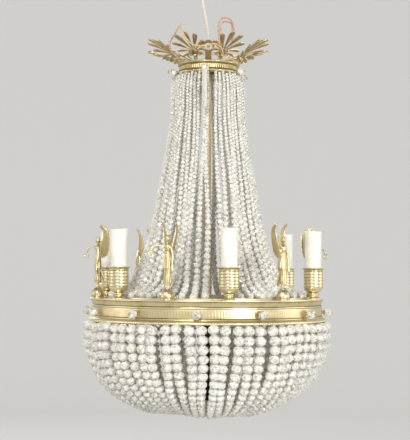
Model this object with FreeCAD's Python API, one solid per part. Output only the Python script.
import FreeCAD, Part
import math
import os

# Crystal basket chandelier. Millimetres, +Z up, the front is -Y.
# Origin: the centre of the hanging eye. Heights below it are negative.
# Angles are in degrees round the stem, from the front towards +X.

Vec = FreeCAD.Vector

# clearances
seat_gap = 0.3            # a piece beside or under the one that carries it
run_clear = 0.05          # hinge pin in the ears
press_clear = 0.02        # hinge pin in the eye
slip_clear = 0.1          # a rod in a drilled hole

# hanging eye, hinge pin, stem
eye_bore = 7.0            # radius
eye_rim = 3.5
eye_thick = 6.0
pin_drop = 24.0           # eye centre to hinge pin
pin_radius = 3.0
eye_tab_wall = 2.5        # round the pin
ear_thick = 4.0
ear_wall = 3.0            # round the pin
ear_foot = 6.0            # pin to the top of the stem head
pin_head_radius = 4.5
pin_head_thick = 1.2
head_radius = 9.0
head_height = 7.5
head_socket = 3.5         # depth of the hole for the stem
stem_radius = 6.0
stem_wall = 1.5
nut_flats = 17.0
nut_height = 4.0

# crown
crown_top = -33.3
crown_height = 19.7
crown_radius = 51.7
crown_wall = 3.2
crown_lip = 2.8           # how far the top lip stands out
crown_flare = 7.3         # how far the bottom moulding stands out
crown_flare_height = 4.5
crown_plate_radius = 24.0
crown_plate_thick = 4.0
crown_plate_drop = 8.7    # below the crown's top
crown_arms = 6
crown_arm_width = 8.0

# palmettes
palmettes = 8
palmette_first = 22.5
# lean of each palmette above the horizontal: they were bent by hand
palmette_leans = (36.0, 34.0, 30.0, 34.0, 36.0, 25.0, 33.0, 36.0)
palmette_foot = (10.0, 4.6, 1.6)      # width, depth, thickness
palmette_boss_out = 12.3  # boss centre beyond the crown's wall
palmette_boss_up = 13.3   # and above the crown's top
palmette_boss_radius = 8.0
palmette_boss_thick = 5.0
palmette_thick = 2.4
finger_root = 6.0
finger_root_width = 2.6
finger_angles = (-100.0, -70.0, -45.0, -22.0, 0.0, 22.0, 45.0, 70.0, 100.0)
finger_lengths = (20.0, 27.0, 40.0, 49.0, 52.0, 49.0, 40.0, 27.0, 20.0)
finger_widths = (5.4, 6.4, 8.2, 9.0, 9.0, 9.0, 8.2, 6.4, 5.4)
finger_curl = 5.0         # drop of a tip out of the fan's plane
screw_radius = 1.0
screw_head_radius = 1.8
screw_head_height = 1.2
screw_depth = 3.0

# crystal balls on pins
crown_balls = 6
crown_ball_first = -4.5
crown_ball_radius = 7.0
ring_balls = 12
ring_ball_first = -4.8
ring_ball_radius = 8.0
ball_shank = 1.2
ball_collar = 2.4
ball_collar_length = 2.2
ball_head = 1.4
ball_flat = 0.92          # half the length of a ball in radii
drop_radius = 4.4         # the long drop before the front ball
drop_length = 76.0
drop_above = 5.7          # its top above the pin

# main ring
ring_top = -436.5
ring_height = 38.5
ring_radius = 200.0
ring_width = 24.0         # of its top plate
ring_inner_wall = 2.0
ring_inner_depth = 21.5
ring_plate = 2.5
ring_shell = 5.3          # top edge to the inside of the outer wall
ring_frieze_back = 3.2    # top edge to the frieze
ring_frieze_top = 13.0    # below the ring's top
ring_frieze_bottom = 28.5
ring_foot_out = 3.0       # how far the bottom moulding stands out
gallery_wall = 2.1
gallery_flange = 0.7
gallery_down = 4.5
gallery_up = 2.5
gallery_lip = 1.2

# what carries the ring on the stem
ring_arms = 3
ring_arm_first = 10.5
ring_arm_width = 14.0
ring_arm_thick = 5.0
ring_arm_drop = 11.5      # ring's top to the arms' top
ring_hub_radius = 20.0

# candles
candles = 6
candle_first = 10.5
cup_height = 52.5
cup_floor = 30.5
cup_radius = 16.1
cup_rim = 18.6
cup_bore = 14.7
cup_foot = 11.0
cup_waist = 6.5
cup_knop = 7.7
cup_grooves = 5
cup_first_groove = 26.0   # above the ring
cup_groove_pitch = 3.6
cup_groove_depth = 0.55
sleeve_radius = 13.75
sleeve_wall = 1.75
sleeve_length = 84.0
holder_top_drop = 4.0     # sleeve's top to the lampholder's mouth
holder_height = 46.0
socket_radius = 7.1
socket_depth = 24.0
nipple_radius = 4.0
nipple_into_holder = 8.0
nipple_below = 4.0
lamp_nut_flats = 11.0
lamp_nut_height = 4.0

# figures
figures = 6
figure_first = -19.5
dome_radius = 11.0
dome_height = 18.5
dome_top_radius = 5.4
arm_reach = 24.0
wreath_radius = 4.0
wreath_wire = 1.0
wing_thick = 1.6
wing_root = 2.5           # half the distance between the wings at their foot
wing_foot = 47.0          # height of the wings' lowest point
wing_splay = 0.155        # how fast they part on the way up

# bead strands of the tent
tent_strands = 54         # places for strands round the crown
tent_groups = 3
tent_missing = (1,)       # a place with no strand: the stem shows there
tent_first = -1.0
# partings, where the strands hang away from each other: angle, and push in strand spacings
tent_partings = ((-62.0, 0.34), (-37.0, 0.42), (-13.0, 0.36), (5.7, 0.26), (24.0, 0.32),
                 (47.0, 0.34), (95.0, 0.34), (140.0, 0.4), (190.0, 0.34), (235.0, 0.4))
parting_reach = 1.6       # strand spacings over which a push dies away

# bead strands of the basket
basket_strands = 66
basket_groups = 2
basket_depth = 151.0      # ring's bottom to the lowest strand's middle line
basket_out = 2.0          # the strands' start beyond the ring's top edge
hoop_wire = 1.4
hoop_share = 0.4135       # hoop's outside in ring radii
disc_radius = 36.0
disc_thick = 8.0
disc_rise = 14.0          # the disc above the lowest strands
finial_radius = 7.0
finial_collar = 12.0
finial_drop = 22.0        # below the disc
finial_spigot = 8.0       # how far it goes up the stem

# cords
flex_diameter = 5.0
flex_route = ((0.0, 15.0, -33.8), (0.8, 15.0, -8.0), (0.2, 15.3, 24.0),
              (-4.4, 15.6, 51.0), (-9.2, 15.4, 76.0), (-12.5, 15.0, 95.0))
gland_radius = 6.0
gland_height = 8.0
connector_radius = 7.5
connector_length = 20.0
wire_diameter = 3.0
wire_left_route = ((-40.6, -31.7, -31.5), (-50.0, -44.0, -30.5), (-60.2, -57.0, -22.1),
                   (-65.2, -64.0, -16.1), (-65.8, -66.0, -6.8), (-60.0, -61.0, 3.9),
                   (-53.5, -54.0, 15.5), (-47.5, -49.5, 28.0))
wire_front_route = ((-47.5, -52.1, 28.5), (-47.5, -75.0, 23.0), (-46.0, -103.0, 10.0),
                    (-38.5, -106.0, -7.0), (-24.0, -102.0, -19.5), (-5.4, -98.0, -18.0),
                    (11.3, -94.0, -12.0), (23.0, -85.0, -20.0), (25.0, -73.0, -28.0))
wire_right_route = ((14.6, -12.0, -41.6), (18.0, -12.0, -19.0), (19.2, -11.0, 6.0),
                    (16.5, -11.0, 27.0), (17.5, -11.0, 40.0), (24.0, -11.0, 48.0),
                    (34.5, -11.0, 47.5), (43.0, -11.0, 38.5), (45.0, -11.0, 21.0),
                    (41.0, -12.0, 5.0), (38.0, -13.0, -10.0))
wire_inner_route = ((20.0, -7.2, -41.6), (21.8, -7.2, -22.0), (22.0, -7.2, 0.0),
                    (20.9, -7.2, 20.0), (20.6, -7.2, 36.0), (26.8, -7.2, 42.2),
                    (35.4, -7.2, 42.2), (41.6, -7.2, 36.0), (41.6, -7.2, 22.0), (39.0, -7.2, 9.0))

# places worked out from the sizes above
crown_bottom = crown_top - crown_height
crown_inside = crown_radius - crown_wall
crown_ball_height = crown_bottom + crown_flare_height / 2
plate_top = crown_top - crown_plate_drop
plate_bottom = plate_top - crown_plate_thick
head_top = -pin_drop - ear_foot
head_bottom = head_top - head_height
stem_top = head_bottom + head_socket
ring_bottom = ring_top - ring_height
ring_inner = ring_radius - ring_width
ring_wall_inside = ring_radius - ring_shell
ring_frieze = ring_radius - ring_frieze_back
ring_flare = ring_radius + ring_foot_out
stand_radius = (ring_inner + ring_radius) / 2      # candles and figures on the ring
basket_low = ring_bottom - basket_depth
hoop_out = hoop_share * ring_radius
disc_middle = basket_low + disc_rise
disc_bottom = disc_middle - disc_thick / 2
arm_top = ring_top - ring_arm_drop
arm_bottom = arm_top - ring_arm_thick
gallery_inside = ring_inner - slip_clear - gallery_wall
sleeve_bottom = ring_top + cup_floor
sleeve_top = sleeve_bottom + sleeve_length
holder_top = sleeve_top - holder_top_drop
holder_bottom = holder_top - holder_height
holder_radius = sleeve_radius - sleeve_wall - seat_gap
figure_base = ring_top + dome_height

# middle line of a tent strand, from the crown to the gallery: the share of the way out,
# the share of the way down, and how much of the room between neighbours a bead fills
tent_curve = ((0.0, 0.0, 0.9), (0.030, 0.0334, 0.86), (0.0515, 0.1783, 0.80), (0.1116, 0.339, 0.77),
              (0.2017, 0.5049, 0.77), (0.3219, 0.7103, 0.77), (0.4979, 0.8735, 0.77),
              (0.6094, 0.942, 0.74), (0.7983, 0.9842, 0.68), (1.0, 1.0, 0.604))
tent_start = (crown_radius + 5.3, crown_bottom - seat_gap)
tent_end = (gallery_inside - seat_gap, ring_top + 3.5)
tent_line = [(tent_start[0] + (tent_end[0] - tent_start[0]) * out,
              tent_start[1] + (tent_end[1] - tent_start[1]) * down) for out, down, fill in tent_curve]
tent_beads = [fill * 2 * math.pi * point[0] / tent_strands
              for point, (out, down, fill) in zip(tent_line, tent_curve)]
tent_break = 5            # the line's point where one run of beads hands over to the next

# middle line of a basket strand: its radius in radii of its start, the share of the basket's
# depth, and how much of the room between neighbours a bead fills
basket_curve = ((1.0, 0.002, 0.853), (1.01, 0.1788, 0.845), (0.99, 0.3444, 0.84), (0.943, 0.51, 0.85),
                (0.882, 0.6556, 0.86), (0.785, 0.7947, 0.86), (0.669, 0.9007, 0.87), (0.550, 0.9669, 0.875),
                (0.4109, 1.0, 0.915), (0.2723, 0.9868, 1.30), (0.0, 0.0, 1.80))
basket_start = ring_radius + basket_out
basket_line = [(basket_start * out, ring_bottom - basket_depth * down) for out, down, fill in basket_curve]
basket_line[-1] = (disc_radius + seat_gap, disc_middle)
basket_beads = [fill * 2 * math.pi * point[0] / basket_strands
                for point, (out, down, fill) in zip(basket_line, basket_curve)]
basket_breaks = (3, 6)
basket_short_end = 8      # the point where a short strand ends at the hoop


def place(radius, angle, height):
    """A point by its distance from the stem, its angle and its height."""
    turn = math.radians(angle)
    return Vec(radius * math.sin(turn), -radius * math.cos(turn), height)


def outward(angle):
    return place(1.0, angle, 0.0)


def aside(angle):
    """Level direction square to the way out, towards larger angles."""
    turn = math.radians(angle)
    return Vec(math.cos(turn), math.sin(turn), 0.0)


def turned(points, centre=Vec(0, 0, 0)):
    """A profile of (radius, height) points turned about the upright line through centre."""
    corners = [Vec(radius, 0, height) for radius, height in points]
    face = Part.Face(Part.makePolygon(corners + corners[:1]))
    solid = face.revolve(Vec(0, 0, 0), Vec(0, 0, 1), 360)
    solid.translate(centre)
    return solid


def cylinder(start, end, radius):
    return Part.makeCylinder(radius, (end - start).Length, start, end - start)


def hex_prism(flats, height, base):
    corner = flats / 2 / math.cos(math.radians(30))
    ring = [base + Vec(corner * math.cos(math.radians(60 * k)), corner * math.sin(math.radians(60 * k)), 0)
            for k in range(7)]
    return Part.Face(Part.makePolygon(ring)).extrude(Vec(0, 0, height))


def nut(flats, height, bore, base):
    hole = Part.makeCylinder(bore, height + 2, base - Vec(0, 0, 1))
    return hex_prism(flats, height, base).cut(hole)


def round_section(centre, across, over, radius_across, radius_over, sides):
    """A many-sided closed wire with its corners on an ellipse."""
    points = []
    for k in range(sides + 1):
        turn = 2 * math.pi * (k % sides + 0.5) / sides
        corner = across * (radius_across * math.cos(turn)) + over * (radius_over * math.sin(turn))
        points.append(centre + corner)
    return Part.makePolygon(points)


def skin(sections):
    """A solid through closed wires, with straight walls from one to the next."""
    return Part.makeLoft(sections, True, True)


def around(first, count):
    return [first + 360.0 * k / count for k in range(count)]


# ---- hanging eye and stem ----

def hanging_eye():
    half = Vec(0, eye_thick / 2, 0)
    pin = Vec(0, 0, -pin_drop)
    rim = cylinder(-half, half, eye_bore + eye_rim)
    tab_radius = pin_radius + eye_tab_wall
    tab = cylinder(pin - half, pin + half, tab_radius)
    neck = Part.makeBox(2 * tab_radius, eye_thick, pin_drop, pin - half - Vec(tab_radius, 0, 0))
    eye = rim.fuse([tab, neck]).cut(cylinder(-half * 2, half * 2, eye_bore))
    return eye.cut(cylinder(pin - half * 2, pin + half * 2, pin_radius + press_clear)).removeSplitter()


def ear_inside():
    return eye_thick / 2 + seat_gap


def hanger_pin():
    pin = Vec(0, 0, -pin_drop)
    head_start = ear_inside() + ear_thick + seat_gap
    reach = Vec(0, head_start, 0)
    head = Vec(0, head_start + pin_head_thick, 0)
    shank = cylinder(pin - reach, pin + reach, pin_radius)
    near = cylinder(pin - head, pin - reach, pin_head_radius)
    far = cylinder(pin + reach, pin + head, pin_head_radius)
    return shank.fuse([near, far])


def stem_head():
    pin = Vec(0, 0, -pin_drop)
    radius = pin_radius + ear_wall
    body = Part.makeCylinder(head_radius, head_height, Vec(0, 0, head_bottom))
    for side in (-1, 1):
        inner = Vec(0, side * ear_inside(), 0)
        outer = Vec(0, side * (ear_inside() + ear_thick), 0)
        low = min(inner.y, outer.y)
        ear = cylinder(pin + inner, pin + outer, radius)
        leg = Part.makeBox(2 * radius, ear_thick, ear_foot, Vec(-radius, low, head_top))
        body = body.fuse([ear, leg])
    bore = cylinder(pin - Vec(0, 20, 0), pin + Vec(0, 20, 0), pin_radius + run_clear)
    socket = Part.makeCylinder(stem_radius + slip_clear, head_socket, Vec(0, 0, head_bottom))
    return body.cut(bore).cut(socket).removeSplitter()


def stem_tube():
    inside = stem_radius - stem_wall
    return turned([(inside, disc_bottom), (stem_radius, disc_bottom),
                   (stem_radius, stem_top), (inside, stem_top)])


def stem_nuts():
    bore = stem_radius + slip_clear
    bases = (plate_top, plate_bottom - nut_height, arm_top, arm_bottom - nut_height)
    return [nut(nut_flats, nut_height, bore, Vec(0, 0, base)) for base in bases]


# ---- crown ----

def crown_spider():
    plate = Part.makeCylinder(crown_plate_radius, crown_plate_thick, Vec(0, 0, plate_bottom))
    reach = crown_inside - slip_clear
    arms = []
    for angle in around(0.0, crown_arms):
        arm = Part.makeBox(crown_arm_width, reach, crown_plate_thick,
                           Vec(-crown_arm_width / 2, -reach, plate_bottom))
        arm.rotate(Vec(0, 0, 0), Vec(0, 0, 1), angle)
        arms.append(arm)
    # the arms' ends follow the crown's inner wall
    disc = Part.makeCylinder(reach, crown_plate_thick, Vec(0, 0, plate_bottom))
    hole = Part.makeCylinder(stem_radius + slip_clear, crown_plate_thick, Vec(0, 0, plate_bottom))
    return plate.fuse(arms).common(disc).cut(hole).removeSplitter()


def crown_band():
    lip = crown_radius + crown_lip
    flare = crown_radius + crown_flare
    flare_top = crown_bottom + crown_flare_height
    profile = [(crown_inside, crown_bottom), (flare - 1.5, crown_bottom), (flare, crown_bottom + 1.5),
               (flare, flare_top - 1), (flare - 1.5, flare_top), (crown_radius + 2.5, flare_top + 0.5),
               (crown_radius + 0.6, flare_top + 2.5), (crown_radius - 0.6, flare_top + 3.2),
               (crown_radius - 0.6, crown_top - 4.6), (crown_radius + 0.4, crown_top - 4),
               (lip, crown_top - 1.8), (lip, crown_top), (crown_inside, crown_top)]
    band = turned(profile)
    for angle in around(palmette_first, palmettes):
        seat = place(screw_circle(), angle, crown_top - screw_depth - seat_gap)
        band = band.cut(Part.makeCylinder(screw_radius + slip_clear, screw_depth + 1, seat))
    return band


def screw_circle():
    return crown_inside + screw_head_radius + 0.2


def flex_gland():
    base = Vec(flex_route[0][0], flex_route[0][1], plate_top)
    body = Part.makeCylinder(gland_radius, gland_height * 0.6, base)
    neck = Part.makeCone(gland_radius, flex_diameter / 2 + 0.6, gland_height * 0.4,
                         base + Vec(0, 0, gland_height * 0.6))
    return body.fuse(neck)


def finger(angle, length, widest, boss, up, side, normal):
    """One finger of a palmette: it widens like a club, curls over and ends round."""
    turn = math.radians(angle)
    along = up * math.cos(turn) + side * math.sin(turn)
    across = side * math.cos(turn) - up * math.sin(turn)
    # share of the way out, width, and thickness in the plate's
    stations = ((0.0, finger_root_width, 1.0), (0.45, 0.5 * widest, 1.0), (0.72, 0.85 * widest, 1.1),
                (0.87, widest, 1.25), (0.96, 0.78 * widest, 1.1), (1.0, 0.34 * widest, 0.6))
    sections = []
    for share, width, thick in stations:
        distance = finger_root + share * (length - finger_root)
        drop = normal * (-finger_curl * share * share)
        centre = boss + along * distance + drop
        sections.append(round_section(centre, across, normal, width / 2, palmette_thick / 2 * thick, 6))
    return skin(sections)


def palmette(lean_angle):
    """A palmette at the front, before it is turned to its place."""
    lean = math.radians(lean_angle)
    up = Vec(0, -math.cos(lean), math.sin(lean))
    normal = Vec(0, math.sin(lean), math.cos(lean))
    side = Vec(1, 0, 0)
    width, depth, thick = palmette_foot
    foot_out = crown_inside + 0.4
    foot = Part.makeBox(width, depth, thick, Vec(-width / 2, -foot_out - depth, crown_top))
    boss = Vec(0, -(crown_radius + palmette_boss_out), crown_top + palmette_boss_up)
    half = normal * (palmette_boss_thick / 2)
    body = Part.makeCone(palmette_boss_radius, palmette_boss_radius * 0.7, palmette_boss_thick / 2,
                         boss, normal)
    under = Part.makeCone(palmette_boss_radius, palmette_boss_radius * 0.5, palmette_boss_thick / 2,
                          boss, normal * -1)
    forward = Vec(0, -1, 0)
    stalk = skin([round_section(Vec(0, -foot_out - depth + 1.3, crown_top), side, forward, 4.4, 1.6, 4),
                  round_section(Vec(0, -foot_out - depth - 1.0, crown_top + 6), side, forward, 3.0, 2.0, 4),
                  round_section(boss - up * 2, side, normal, 4.6, 2.2, 4)])
    pieces = [under, stalk, foot]
    # two leaf lobes at the foot of the fan
    for turn in (-1, 1):
        centre = boss + side * (turn * 7.5) - up * 4.5
        pieces.append(cylinder(centre - half * 0.8, centre + half * 0.8, 4.2))
    for angle, length, widest in zip(finger_angles, finger_lengths, finger_widths):
        pieces.append(finger(angle, length, widest, boss, up, side, normal))
    piece = body.fuse(pieces)
    hole = Part.makeCylinder(screw_radius + slip_clear, thick + 2, Vec(0, -screw_circle(), crown_top - 1))
    # room for the screw's head at the stalk's foot
    room = Part.makeCylinder(screw_head_radius + seat_gap, screw_head_height + seat_gap,
                             Vec(0, -screw_circle(), crown_top + thick))
    return piece.cut(hole).cut(room)


def palmette_screws():
    thick = palmette_foot[2]
    screws = []
    for angle in around(palmette_first, palmettes):
        tip = place(screw_circle(), angle, crown_top - screw_depth)
        head = place(screw_circle(), angle, crown_top + thick)
        shank = cylinder(tip, head, screw_radius)
        cap = cylinder(head, head + Vec(0, 0, screw_head_height), screw_head_radius)
        screws.append(shank.fuse(cap))
    return screws


# ---- crystal balls ----

def crystal_ball(centre, direction, radius):
    """A cut ball, flat at the two ends of its drilling."""
    across = direction.cross(Vec(0, 0, 1))
    sections = []
    for along, ring in ((-ball_flat, 0.39), (-0.55, 0.83), (0.0, 1.0), (0.55, 0.83), (ball_flat, 0.39)):
        sections.append(round_section(centre + direction * (along * radius), across, Vec(0, 0, 1),
                                      ring * radius, ring * radius, 8))
    reach = direction * (radius + 1)
    return skin(sections).cut(cylinder(centre - reach, centre + reach, ball_shank + slip_clear))


def ball_pin(seat, direction, radius, hung):
    """Pin for a ball: a collar on the brass, a shank through the ball and what is hung there, a head."""
    collar_end = seat + direction * ball_collar_length
    head_start = collar_end + direction * (2 * ball_flat * radius + hung)
    head_end = head_start + direction * ball_head
    collar = cylinder(seat, collar_end, ball_collar)
    shank = cylinder(seat, head_end, ball_shank)
    head = cylinder(head_start, head_end, ball_collar)
    return collar.fuse([shank, head])


def ball_set(count, first, seat_radius, height, radius, first_hung=0.0):
    """Balls and pins round a ring; the first pin is longer by what hangs on it."""
    balls, pins = [], []
    for angle in around(first, count):
        way = outward(angle)
        centre = seat_radius + ball_collar_length + ball_flat * radius
        balls.append(crystal_ball(place(centre, angle, height), way, radius))
        hung = 0.0 if pins else first_hung
        pins.append(ball_pin(place(seat_radius, angle, height), way, radius, hung))
    return balls, pins


def crown_drop():
    """Long glass drop on the front ball's pin, round at both ends and bored across near its top."""
    out = crown_radius + crown_flare + ball_collar_length + 2 * ball_flat * crown_ball_radius
    axis = out + seat_gap + drop_radius
    top = crown_ball_height + drop_above
    foot = top - drop_length
    profile = [(0, foot), (drop_radius * 0.5, foot + 0.8), (drop_radius * 0.82, foot + 3),
               (drop_radius, foot + 7), (drop_radius, top - 5), (drop_radius * 0.85, top - 2.4),
               (drop_radius * 0.5, top - 0.7), (0, top)]
    drop = turned(profile, place(axis, crown_ball_first, 0))
    near = place(axis - drop_radius - 1, crown_ball_first, crown_ball_height)
    far = place(axis + drop_radius + 1, crown_ball_first, crown_ball_height)
    return drop.cut(cylinder(near, far, ball_shank + slip_clear))


# ---- main ring ----

def main_ring():
    lip = ring_top - 2
    frieze_top = ring_top - ring_frieze_top
    frieze_bottom = ring_top - ring_frieze_bottom
    wall = ring_wall_inside
    profile = [(ring_inner, ring_top), (ring_radius, ring_top), (ring_radius, lip),
               (ring_radius - 1.2, lip - 0.4), (ring_radius - 2.6, lip - 3), (ring_frieze - 0.6, lip - 7),
               (ring_frieze - 0.8, lip - 8.6), (ring_frieze + 0.8, lip - 9.2),
               (ring_frieze + 0.8, frieze_top), (ring_frieze, frieze_top - 0.6),
               (ring_frieze, frieze_bottom), (ring_frieze + 1.6, frieze_bottom - 0.8),
               (ring_frieze + 2.2, frieze_bottom - 3), (ring_flare - 1, frieze_bottom - 5),
               (ring_flare, frieze_bottom - 7), (ring_flare, ring_bottom + 1), (ring_flare - 1, ring_bottom),
               (wall + 2, ring_bottom), (wall, ring_bottom + 2), (wall, ring_top - ring_plate),
               (ring_inner + ring_inner_wall, ring_top - ring_plate),
               (ring_inner + ring_inner_wall, ring_top - ring_inner_depth),
               (ring_inner, ring_top - ring_inner_depth)]
    ring = turned(profile)
    hole = nipple_radius + slip_clear
    for angle in around(candle_first, candles):
        below = place(stand_radius, angle, ring_top - ring_plate - 1)
        ring = ring.cut(Part.makeCylinder(hole, ring_plate + 2, below))
    return ring


def ring_gallery():
    outside = gallery_inside + gallery_wall
    top = ring_top + gallery_up
    return turned([(gallery_inside, ring_top - gallery_down), (outside, ring_top - gallery_down),
                   (outside, ring_top), (ring_inner + gallery_flange, ring_top),
                   (ring_inner + gallery_flange, ring_top + gallery_lip), (outside, ring_top + gallery_lip),
                   (outside, top), (gallery_inside, top)])


def main_spider():
    hub = Part.makeCylinder(ring_hub_radius, ring_arm_thick, Vec(0, 0, arm_bottom))
    reach = ring_inner - slip_clear
    arms = []
    for angle in around(ring_arm_first, ring_arms):
        corner = Vec(-ring_arm_width / 2, -reach, arm_bottom)
        arm = Part.makeBox(ring_arm_width, reach, ring_arm_thick, corner)
        arm.rotate(Vec(0, 0, 0), Vec(0, 0, 1), angle)
        arms.append(arm)
    disc = Part.makeCylinder(reach, ring_arm_thick, Vec(0, 0, arm_bottom))
    hole = Part.makeCylinder(stem_radius + slip_clear, ring_arm_thick, Vec(0, 0, arm_bottom))
    return hub.fuse(arms).common(disc).cut(hole).removeSplitter()


# ---- candles ----

def candle_cup(angle):
    bore = nipple_radius + slip_clear
    profile = [(bore, 0), (cup_foot, 0), (cup_foot, 1.4), (cup_foot - 1.8, 2.8),
               (cup_waist + 0.4, 4.6), (cup_waist, 7), (cup_knop, 8.2), (cup_knop, 9.6),
               (cup_waist + 0.3, 10.8), (9.6, 12.4), (13.2, 15.4), (cup_radius - 0.9, 20),
               (cup_radius - 0.1, 25)]
    for groove in range(cup_grooves):
        height = cup_first_groove + groove * cup_groove_pitch
        profile += [(cup_radius, height), (cup_radius - cup_groove_depth, height + 0.7),
                    (cup_radius, height + 1.4)]
    profile += [(cup_radius, cup_height - 7.3), (cup_radius - 0.6, cup_height - 6.5),
                (cup_radius - 0.5, cup_height - 4.1), (cup_rim - 1.7, cup_height - 1.9),
                (cup_rim, cup_height - 1), (cup_rim, cup_height), (cup_bore + 0.6, cup_height),
                (cup_bore, cup_height - 1.5), (cup_bore, cup_floor), (bore, cup_floor)]
    return turned(profile, place(stand_radius, angle, ring_top))


def candle_sleeve(angle):
    """Wax-look tube with a wavy, dripped rim; it drops over the lampholder into the cup."""
    inside = sleeve_radius - sleeve_wall
    top = sleeve_length
    profile = [(inside, 0), (sleeve_radius, 0), (sleeve_radius, top - 13), (sleeve_radius + 0.7, top - 9),
               (sleeve_radius + 0.3, top - 6), (sleeve_radius + 0.9, top - 3),
               (sleeve_radius + 0.2, top - 0.6), (sleeve_radius - 0.6, top), (inside + 0.3, top),
               (inside, top - 1)]
    return turned(profile, place(stand_radius, angle, sleeve_bottom))


def lampholder(angle):
    mouth = holder_height - socket_depth
    into = nipple_into_holder + seat_gap
    hole = nipple_radius + slip_clear
    profile = [(hole, 0), (holder_radius - 2, 0), (holder_radius, 4), (holder_radius, holder_height),
               (socket_radius, holder_height), (socket_radius, mouth), (0, mouth), (0, into), (hole, into)]
    return turned(profile, place(stand_radius, angle, holder_bottom))


def lamp_fixings(angle):
    """The threaded pipe under a lampholder and its nuts."""
    foot = ring_top - ring_plate - lamp_nut_height - nipple_below
    head = place(stand_radius, angle, holder_bottom + nipple_into_holder)
    pipe = cylinder(place(stand_radius, angle, foot), head, nipple_radius)
    bases = (ring_top - ring_plate - lamp_nut_height, sleeve_bottom, holder_bottom - lamp_nut_height)
    nuts = [nut(lamp_nut_flats, lamp_nut_height, nipple_radius + slip_clear, place(stand_radius, angle, base))
            for base in bases]
    return [pipe] + nuts


# ---- figures ----

def figure_dome(angle):
    profile = [(0, 0), (dome_radius, 0), (dome_radius, 1.6), (dome_radius - 0.8, 2.4), (dome_radius - 0.4, 5),
               (dome_radius - 0.8, 9), (dome_radius - 2.2, 13), (dome_radius - 4.4, 16),
               (dome_top_radius, 17.2), (dome_top_radius, dome_height), (0, dome_height)]
    return turned(profile, place(stand_radius, angle, ring_top))


# body of a figure from the hem up: height, half breadth, half depth
body_sections = ((7.0, 6.0, 5.6), (12.0, 6.4, 5.8), (22.0, 5.6, 4.9), (31.0, 6.4, 5.4), (32.0, 7.8, 6.4),
                 (40.0, 6.9, 5.7), (50.0, 5.6, 4.6), (57.5, 4.4, 3.7), (62.0, 5.4, 4.6), (66.5, 6.6, 4.2),
                 (69.5, 5.0, 3.2), (71.0, 2.4, 2.3), (72.5, 2.1, 2.1))
head_sections = ((72.5, 2.1, 2.1), (74.0, 3.0, 3.3), (77.0, 3.8, 4.3), (80.0, 4.0, 4.6), (82.6, 3.1, 3.6),
                 (83.8, 1.2, 1.4))
# a raised wing seen from the side: back from the body's middle and up
wing_outline = ((2.0, 52.0), (6.0, 48.5), (12.0, 50.0), (17.0, 58.0), (19.0, 70.0), (18.5, 84.0),
                (16.0, 96.0), (11.0, 103.5), (5.5, 105.5), (2.5, 103.0), (6.5, 98.0), (8.0, 90.0),
                (6.5, 80.0), (4.0, 72.0), (2.0, 66.0))
# the dress blown back behind the legs: back, up, half breadth, half depth
train_sections = ((3.0, 30.0, 4.2, 1.8), (7.5, 20.0, 4.0, 2.0), (11.0, 11.0, 3.2, 2.0), (12.0, 4.0, 2.0, 1.4))


def limb(points, across, over):
    """A tube of six sides through (point, radius) pairs."""
    return skin([round_section(point, across, over, radius, radius, 6) for point, radius in points])


def figure():
    """A draped, winged figure at the front, standing on its dome, before it is turned to its place."""
    base = Vec(0, -stand_radius, figure_base)
    across = Vec(1, 0, 0)
    front = Vec(0, -1, 0)
    rise = Vec(0, 0, 1)

    def level(height, breadth, depth, sides=8):
        return round_section(base + rise * height, across, front, breadth, depth, sides)

    body = skin([level(*size) for size in body_sections])
    parts = [skin([level(*size) for size in head_sections])]
    parts.append(skin([round_section(base - front * back + rise * up, across, front, breadth, depth, 6)
                       for back, up, breadth, depth in train_sections]))
    for side in (-1, 1):
        foot = base + across * (side * 2.5)
        knee = base + across * (side * 2.6) + rise * 8
        thigh = base + across * (side * 2.8) + rise * 14
        parts.append(skin([round_section(foot + front * 0.8, across, front, 1.7, 2.6, 6),
                           round_section(foot + rise * 2.5, across, front, 1.3, 1.5, 6),
                           round_section(knee, across, front, 1.9, 1.9, 6),
                           round_section(thigh, across, front, 2.0, 2.0, 6)]))
        outline = []
        for back, up in wing_outline:
            out = side * (wing_root + wing_splay * (up - wing_foot))
            outline.append(base + across * out - front * back + rise * up)
        wing = Part.Face(Part.makePolygon(outline + outline[:1])).extrude(across * (side * wing_thick))
        parts.append(wing)
    # the figure's right arm reaches out between forward and its right and bends down to a wreath
    reach = (front - across).normalize()
    shoulder = base - across * 5.0 + rise * 66
    square = reach.cross(rise)
    parts.append(limb(((shoulder, 2.3), (shoulder + reach * (arm_reach * 0.45) + rise * 1.2, 1.8),
                       (shoulder + reach * (arm_reach * 0.8), 1.5)), square, rise))
    wrist = shoulder + reach * (arm_reach * 0.8)
    hand = shoulder + reach * arm_reach - rise * 8
    bend = wrist + reach * 2.5 - rise * 2.0
    parts.append(limb(((wrist + rise * 1.0, 1.5), (bend, 1.5), (hand, 1.2)), square, reach))
    parts.append(Part.makeTorus(wreath_radius, wreath_wire, hand - rise * wreath_radius, square))
    # the left arm hangs, holding a fold of the dress
    shoulder = base + across * 5.4 + rise * 65.5
    elbow = shoulder + across * 3.4 - rise * 14
    hand = elbow + across * 0.6 + front * 3.0 - rise * 13
    parts.append(limb(((shoulder, 2.1), (elbow, 1.7), (hand, 1.4)), across, front))
    parts.append(skin([round_section(hand + rise * 2, across, front, 1.2, 1.2, 6),
                       round_section(hand - rise * 8, across, front, 2.4, 1.6, 6),
                       round_section(hand - rise * 15, across, front, 1.4, 1.0, 6)]))
    return body.fuse(parts)


# ---- bead strands ----

def parted(angle, pitch, partings):
    """How far a strand is pushed aside by the partings near it, in degrees."""
    push = 0.0
    for middle, strength in partings:
        away = (angle - middle + 180) % 360 - 180
        push += math.copysign(strength * pitch * math.exp(-abs(away) / (parting_reach * pitch)), away)
    return push


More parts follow.
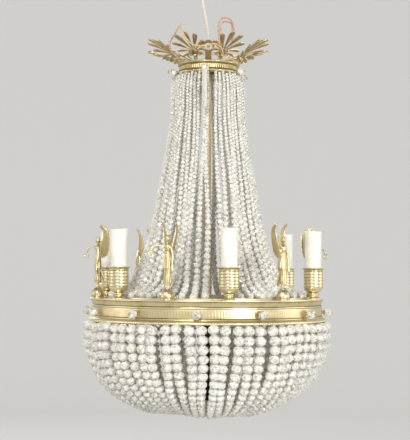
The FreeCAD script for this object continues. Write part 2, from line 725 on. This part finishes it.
def strand_sections(line, beads, angle, level_first, upright_last, push=0.0):
    """Six-sided sections of a strand, each square to its middle line."""
    way = outward(angle)
    side = aside(angle)
    points = []
    for radius, height in line:
        # a push is full half-way down and nothing at the two ends
        share = (line[0][1] - height) / (line[0][1] - line[-1][1])
        ease = math.sin(math.pi * share) ** 0.7 if 0 < share < 1 else 0.0
        points.append(place(radius, angle + push * ease, height))
    sections = []
    for k, point in enumerate(points):
        before = points[max(k - 1, 0)]
        after = points[min(k + 1, len(points) - 1)]
        along = (after - before).normalize()
        if k == 0 and level_first:
            along = Vec(0, 0, -1)
        if k == len(points) - 1 and upright_last:
            along = way if after.dot(way) > before.dot(way) else way * -1
        over = along.cross(side)
        # a corner to each side, so that neighbours keep their distance
        ring = [point + side * (beads[k] / 2 * math.cos(math.radians(60 * n)))
                + over * (beads[k] / 2 * math.sin(math.radians(60 * n))) for n in range(7)]
        sections.append(Part.makePolygon(ring))
    return sections


def strand_runs(sections, breaks):
    """The strand as runs of beads that meet face to face."""
    runs = []
    start = 0
    for stop in list(breaks) + [len(sections) - 1]:
        runs.append(skin(sections[start:stop + 1]))
        start = stop
    return runs


def tent_group(group):
    each = tent_strands // tent_groups
    angles = around(tent_first, tent_strands)
    pitch = 360.0 / tent_strands
    runs = []
    for index in range(group * each, (group + 1) * each):
        if index in tent_missing:
            continue
        push = parted(angles[index], pitch, tent_partings)
        sections = strand_sections(tent_line, tent_beads, angles[index], True, True, push)
        runs += strand_runs(sections, (tent_break,))
    return runs


def basket_group(group):
    each = basket_strands // basket_groups
    runs = []
    for index in range(group * each, (group + 1) * each):
        angle = 360.0 * (index + 0.5) / basket_strands
        # every second strand ends at the hoop, where there is no more room
        last = len(basket_line) if index % 2 == 0 else basket_short_end + 1
        sections = strand_sections(basket_line[:last], basket_beads[:last], angle, True, True)
        runs += strand_runs(sections, basket_breaks)
    return runs


def basket_hoop():
    height = basket_line[basket_short_end][1] + basket_beads[basket_short_end] / 2 + hoop_wire + seat_gap
    return Part.makeTorus(hoop_out - hoop_wire, hoop_wire, Vec(0, 0, height))


def basket_disc():
    bore = stem_radius + slip_clear
    top = disc_middle + disc_thick / 2
    return turned([(bore, disc_bottom), (disc_radius - 2, disc_bottom), (disc_radius, disc_bottom + 1.5),
                   (disc_radius, top), (disc_radius - 2.5, top), (disc_radius - 4, disc_bottom + 3),
                   (bore, disc_bottom + 3)])


def bottom_finial():
    spigot = stem_radius - stem_wall - slip_clear
    tip = disc_bottom - finial_drop
    ball = disc_bottom - 12
    return turned([(0, tip), (1.6, tip + 1), (1.2, tip + 2.6), (4.2, ball - 5.6),
                   (finial_radius - 0.7, ball - 3),
                   (finial_radius, ball), (finial_radius - 0.8, ball + 3), (4.0, ball + 5.8), (3.6, ball + 7),
                   (6.0, disc_bottom - 3.6), (finial_collar - 1.4, disc_bottom - 2.2),
                   (finial_collar, disc_bottom - 1), (finial_collar, disc_bottom), (spigot, disc_bottom),
                   (spigot, disc_bottom + finial_spigot), (0, disc_bottom + finial_spigot)])


# ---- cords ----

def cord(route, diameter, name):
    """A tube along straight runs joined by tangent arcs as large as the runs allow."""
    points = [Vec(*point) for point in route]
    edges = []
    radii = []
    start = points[0]
    for before, corner, after in zip(points, points[1:], points[2:]):
        arriving = (corner - before).normalize()
        leaving = (after - corner).normalize()
        turn = arriving.getAngle(leaving)
        shorter = min((corner - before).Length, (after - corner).Length)
        trim = 0.45 * shorter
        radii.append(trim / math.tan(turn / 2))
        arc_start = corner - arriving * trim
        arc_end = corner + leaving * trim
        inward = (leaving - arriving).normalize()
        centre = corner + inward * (radii[-1] / math.cos(turn / 2))
        middle = centre - inward * radii[-1]
        edges.append(Part.LineSegment(start, arc_start).toShape())
        edges.append(Part.Arc(arc_start, middle, arc_end).toShape())
        start = arc_end
    edges.append(Part.LineSegment(start, points[-1]).toShape())
    path = Part.Wire(edges)
    mouth = Part.Wire(Part.makeCircle(diameter / 2, points[0], points[1] - points[0]))
    tube = path.makePipeShell([mouth], True, False)
    share = tube.Volume / (math.pi * diameter ** 2 / 4 * path.Length)
    print(name, "length", round(path.Length, 1), "volume share", round(share, 4),
          "radii", [round(radius, 1) for radius in radii])
    return tube


def flex_connector():
    """The ceiling fitting that the flex runs into."""
    end = Vec(*flex_route[-1])
    along = (end - Vec(*flex_route[-2])).normalize()
    collar = cylinder(end, end + along * 3, connector_radius - 2)
    return collar.fuse(cylinder(end + along * 3, end + along * connector_length, connector_radius))


def export(name, pieces):
    solids = pieces if isinstance(pieces, list) else [pieces]
    loose = []
    for solid in solids:
        loose += solid.Solids
    shape = loose[0] if len(loose) == 1 else Part.makeCompound(loose)
    if not shape.isValid():
        print("not valid:", name)
    shape.exportStep("parts/" + name + ".step")


def main():
    os.makedirs("parts", exist_ok=True)
    export("hanging_eye", hanging_eye())
    export("hanger_pin", hanger_pin())
    export("stem_head", stem_head())
    export("stem_tube", stem_tube())
    export("stem_nuts", stem_nuts())
    export("crown_spider", crown_spider())
    export("crown_band", crown_band())
    export("palmette_screws", palmette_screws())
    for number, angle in enumerate(around(palmette_first, palmettes), 1):
        piece = palmette(palmette_leans[number - 1])
        piece.rotate(Vec(0, 0, 0), Vec(0, 0, 1), angle)
        export("palmette_%d" % number, piece)
    balls, pins = ball_set(crown_balls, crown_ball_first, crown_radius + crown_flare,
                           crown_ball_height, crown_ball_radius, 2 * (drop_radius + seat_gap))
    export("crown_drop", crown_drop())
    export("crown_balls", balls)
    export("crown_pins", pins)
    balls, pins = ball_set(ring_balls, ring_ball_first, ring_frieze, ring_top - 22.5, ring_ball_radius)
    export("ring_balls", balls)
    export("ring_pins", pins)
    export("main_ring", main_ring())
    export("ring_gallery", ring_gallery())
    export("main_spider", main_spider())
    holders = []
    fixings = []
    for number, angle in enumerate(around(candle_first, candles), 1):
        export("candle_cup_%d" % number, candle_cup(angle))
        export("candle_sleeve_%d" % number, candle_sleeve(angle))
        holders.append(lampholder(angle))
        fixings += lamp_fixings(angle)
    export("lampholders", holders)
    export("lamp_fixings", fixings)
    export("figure_domes", [figure_dome(angle) for angle in around(figure_first, figures)])
    front = figure()
    for number, angle in enumerate(around(figure_first, figures), 1):
        piece = front.copy()
        piece.rotate(Vec(0, 0, 0), Vec(0, 0, 1), angle)
        export("figure_%d" % number, piece)
    for group in range(tent_groups):
        export("tent_strands_%d" % (group + 1), tent_group(group))
    for group in range(basket_groups):
        export("basket_strands_%d" % (group + 1), basket_group(group))
    export("basket_hoop", basket_hoop())
    export("basket_disc", basket_disc())
    export("bottom_finial", bottom_finial())
    export("flex_gland", flex_gland())
    export("flex_connector", flex_connector())
    export("supply_flex", cord(flex_route, flex_diameter, "supply_flex"))
    export("wire_tail_left", cord(wire_left_route, wire_diameter, "wire_tail_left"))
    export("wire_tail_front", cord(wire_front_route, wire_diameter, "wire_tail_front"))
    export("wire_tail_right", cord(wire_right_route, wire_diameter, "wire_tail_right"))
    export("wire_tail_inner", cord(wire_inner_route, wire_diameter, "wire_tail_inner"))


main()
